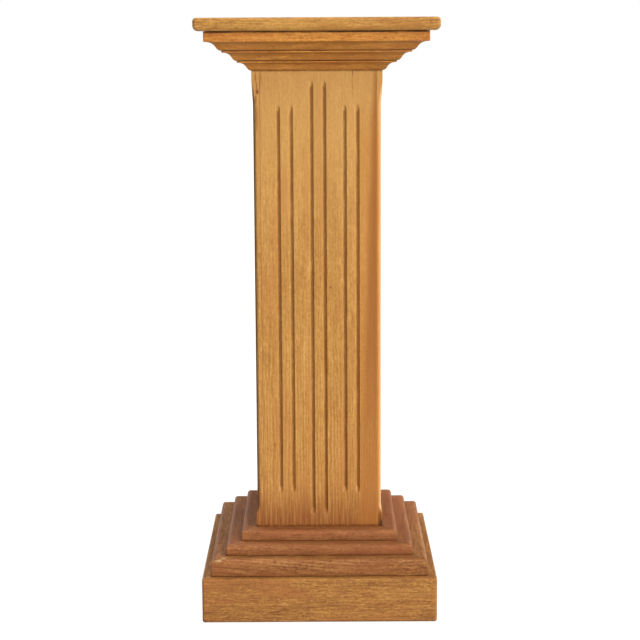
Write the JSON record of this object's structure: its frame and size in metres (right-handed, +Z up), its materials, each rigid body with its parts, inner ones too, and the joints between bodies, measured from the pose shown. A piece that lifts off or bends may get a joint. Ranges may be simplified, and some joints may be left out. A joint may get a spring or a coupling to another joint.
{
  "type": "oak pedestal",
  "caption": "Square oak pedestal: box plinth, three rounded steps, hollow fluted shaft with stopped chamfers, ogee cornice and a flat top board.",
  "frame": {"origin": "middle of the square footprint, on the floor under the plinth", "axes": "+Z up along the shaft, -Y out of the front face, +X to the right seen from the front"},
  "size_m": [0.4, 0.4, 1.0159],
  "materials": {
    "honey_oak": "old satin wax over honey-coloured oak, straight vertical grain",
    "russet_oak": "old satin wax over redder oak, grain along each moulding",
    "golden_oak": "old satin wax over golden brown oak, wavy horizontal grain"
  },
  "bodies": {
    "root": {"top_board": "honey_oak", "cornice_upper_front": "golden_oak", "cornice_upper_right": "golden_oak", "cornice_upper_back": "golden_oak", "cornice_upper_left": "golden_oak", "cornice_middle_front": "russet_oak", "cornice_middle_right": "russet_oak", "cornice_middle_back": "russet_oak", "cornice_middle_left": "russet_oak", "cornice_lower_front": "russet_oak", "cornice_lower_right": "russet_oak", "cornice_lower_back": "russet_oak", "cornice_lower_left": "russet_oak", "shaft_front": "honey_oak", "shaft_right": "honey_oak", "shaft_back": "honey_oak", "shaft_left": "honey_oak", "base_upper_front": "russet_oak", "base_upper_right": "russet_oak", "base_upper_back": "russet_oak", "base_upper_left": "russet_oak", "base_middle_front": "russet_oak", "base_middle_right": "russet_oak", "base_middle_back": "russet_oak", "base_middle_left": "russet_oak", "base_lower_front": "golden_oak", "base_lower_right": "golden_oak", "base_lower_back": "golden_oak", "base_lower_left": "golden_oak", "plinth_front": "golden_oak", "plinth_right": "golden_oak", "plinth_back": "golden_oak", "plinth_left": "golden_oak"}
  },
  "joints": []
}
